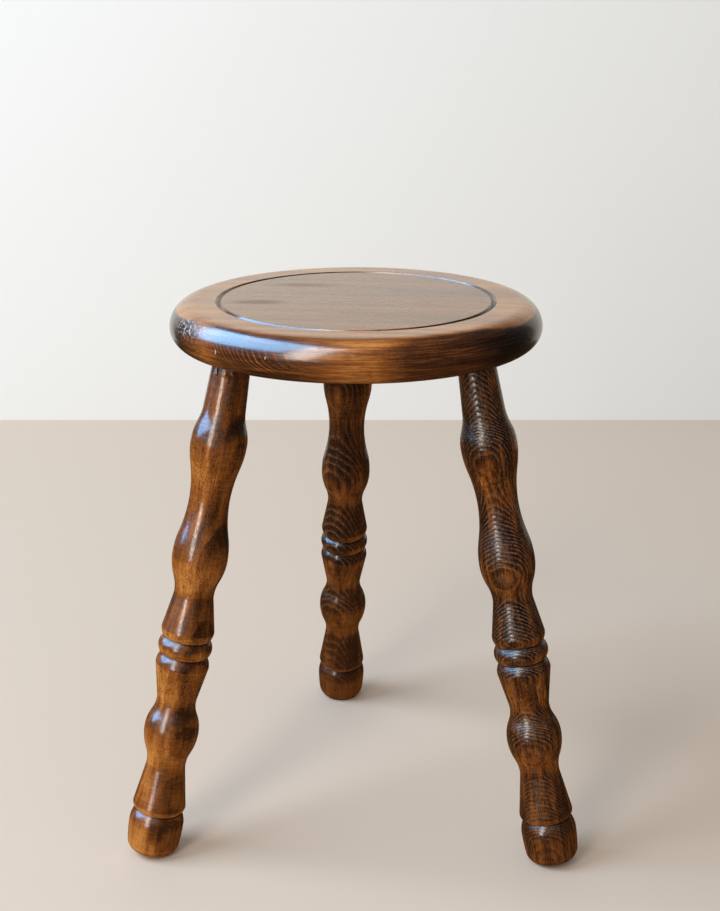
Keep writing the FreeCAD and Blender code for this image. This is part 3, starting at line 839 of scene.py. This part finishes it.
def soft_lamp(name, aim, azimuth, elevation, distance, size, power, colour, roll=0.0, mirrored_in=()):
    """Makes a soft panel of light that faces a place.

    It either lights the stool, or is a card that is only mirrored, in the varnish of some pieces.
    """
    lamp = bpy.data.lights.new(name, "AREA")
    lamp.shape = "RECTANGLE"
    lamp.size, lamp.size_y = size
    lamp.energy = power
    lamp.color = colour
    panel = bpy.data.objects.new(name, lamp)
    bpy.context.scene.collection.objects.link(panel)
    away = direction(azimuth, elevation)
    panel.location = Vector(aim) + away * distance
    turn = away.to_track_quat("Z", "Y") @ Quaternion((0, 0, 1), math.radians(roll))
    panel.rotation_euler = turn.to_euler()
    panel.visible_glossy = bool(mirrored_in)
    panel.visible_diffuse = not mirrored_in
    if mirrored_in:
        pieces = bpy.data.collections.new(f"{name}_pieces")
        for piece in mirrored_in:
            pieces.objects.link(piece)
        panel.light_linking.receiver_collection = pieces


def add_camera():
    """Sets the camera in front of the stool, looking down at it a little."""
    data = bpy.data.cameras.new("camera")
    data.lens = CAMERA_LENS
    data.sensor_width = CAMERA_SENSOR
    camera = bpy.data.objects.new("camera", data)
    camera.location = CAMERA_PLACE
    camera.rotation_euler = (math.radians(CAMERA_ANGLE), 0, 0)
    bpy.context.scene.collection.objects.link(camera)
    bpy.context.scene.camera = camera


def add_world():
    """Fills the room with even light, of which the varnish mirrors a part and the camera sees more."""
    world = bpy.data.worlds.new("room")
    world.use_nodes = True
    tree = world.node_tree
    background = tree.nodes["Background"]
    background.inputs["Color"].default_value = ROOM_COLOUR
    path = tree.nodes.new("ShaderNodeLightPath")
    mirrored = tree.nodes.new("ShaderNodeMix")
    mirrored.inputs["A"].default_value = ROOM_LIGHT
    mirrored.inputs["B"].default_value = ROOM_MIRRORED
    tree.links.new(path.outputs["Is Glossy Ray"], mirrored.inputs["Factor"])
    seen = tree.nodes.new("ShaderNodeMix")
    seen.inputs["B"].default_value = ROOM_SEEN
    tree.links.new(mirrored.outputs["Result"], seen.inputs["A"])
    tree.links.new(path.outputs["Is Camera Ray"], seen.inputs["Factor"])
    tree.links.new(seen.outputs["Result"], background.inputs["Strength"])
    bpy.context.scene.world = world


# Legs, and the runs of varnish on the left one
leg_woods = {name: leg_wood(name, look) for name, look in LEG_LOOKS.items()}
legs = [dress(f"leg_{name}", wood) for name, wood in leg_woods.items()]
legs += [varnish_run(f"varnish_run_{name}", *run, leg_woods["left"]) for name, run in RUNS.items()]

# Seat
front_wood = seat_wood("seat_front", pith=(-0.055, 0.386), ring=0.0019, tone=0.0)
rear_wood = seat_wood("seat_rear", pith=(0.04, 0.54), ring=0.003, tone=-0.03)
seat = [
    dress("seat_board_front", front_wood),
    dress("seat_board_rear", rear_wood),
]

# Hidden dowels and wedges
hidden_wood = bare_wood()
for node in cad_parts:
    if node.startswith(("seam_dowel", "wedge")):
        dress(node, hidden_wood)

# Stage
floor_corners = [
    (-FLOOR_HALF, -FLOOR_HALF, FLOOR_Z),
    (FLOOR_HALF, -FLOOR_HALF, FLOOR_Z),
    (FLOOR_HALF, FLOOR_HALF, FLOOR_Z),
    (-FLOOR_HALF, FLOOR_HALF, FLOOR_Z),
]
backdrop_corners = [
    (BACKDROP_LEFT, BACKDROP_Y, FLOOR_Z),
    (BACKDROP_RIGHT, BACKDROP_Y, FLOOR_Z),
    (BACKDROP_RIGHT, BACKDROP_Y, BACKDROP_TOP),
    (BACKDROP_LEFT, BACKDROP_Y, BACKDROP_TOP),
]
stage_plane("floor", floor_corners, FLOOR, FLOOR_MIRRORED)
stage_plane("backdrop", backdrop_corners, BACKDROP, BACKDROP_MIRRORED)

# Panels that light the stool
soft_lamp(
    "left_panel",
    MIDDLE,
    azimuth=188,
    elevation=42,
    distance=3.0,
    size=(2.0, 1.6),
    power=82.0,
    colour=COOL_PANEL,
)
soft_lamp(
    "front_panel",
    MIDDLE,
    azimuth=-120,
    elevation=28,
    distance=2.0,
    size=(0.5, 1.7),
    power=17.0,
    colour=WARM_PANEL,
)

# Cards that are only mirrored in the varnish
soft_lamp(
    "seat_left_card",
    SEAT_EDGE,
    azimuth=170.5,
    elevation=48,
    distance=CARD_DISTANCE,
    size=(3.62, 2.65),
    power=515.0,
    colour=SEAT_COOL_CARD,
    roll=35,
    mirrored_in=seat,
)
soft_lamp(
    "seat_front_card",
    SEAT_EDGE,
    azimuth=-125,
    elevation=46,
    distance=CARD_DISTANCE,
    size=(0.96, 3.6),
    power=152.0,
    colour=WARM_CARD,
    mirrored_in=seat,
)
soft_lamp(
    "leg_left_card",
    SEAT_EDGE,
    azimuth=175,
    elevation=42,
    distance=CARD_DISTANCE,
    size=(3.84, 3.6),
    power=740.0,
    colour=LEG_COOL_CARD,
    roll=46,
    mirrored_in=legs,
)
soft_lamp(
    "leg_front_card",
    SEAT_EDGE,
    azimuth=-125,
    elevation=31,
    distance=CARD_DISTANCE,
    size=(0.9, 4.6),
    power=190.0,
    colour=WARM_CARD,
    mirrored_in=legs,
)

# Room and camera
add_world()
add_camera()
bpy.context.scene.view_settings.view_transform = "Standard"
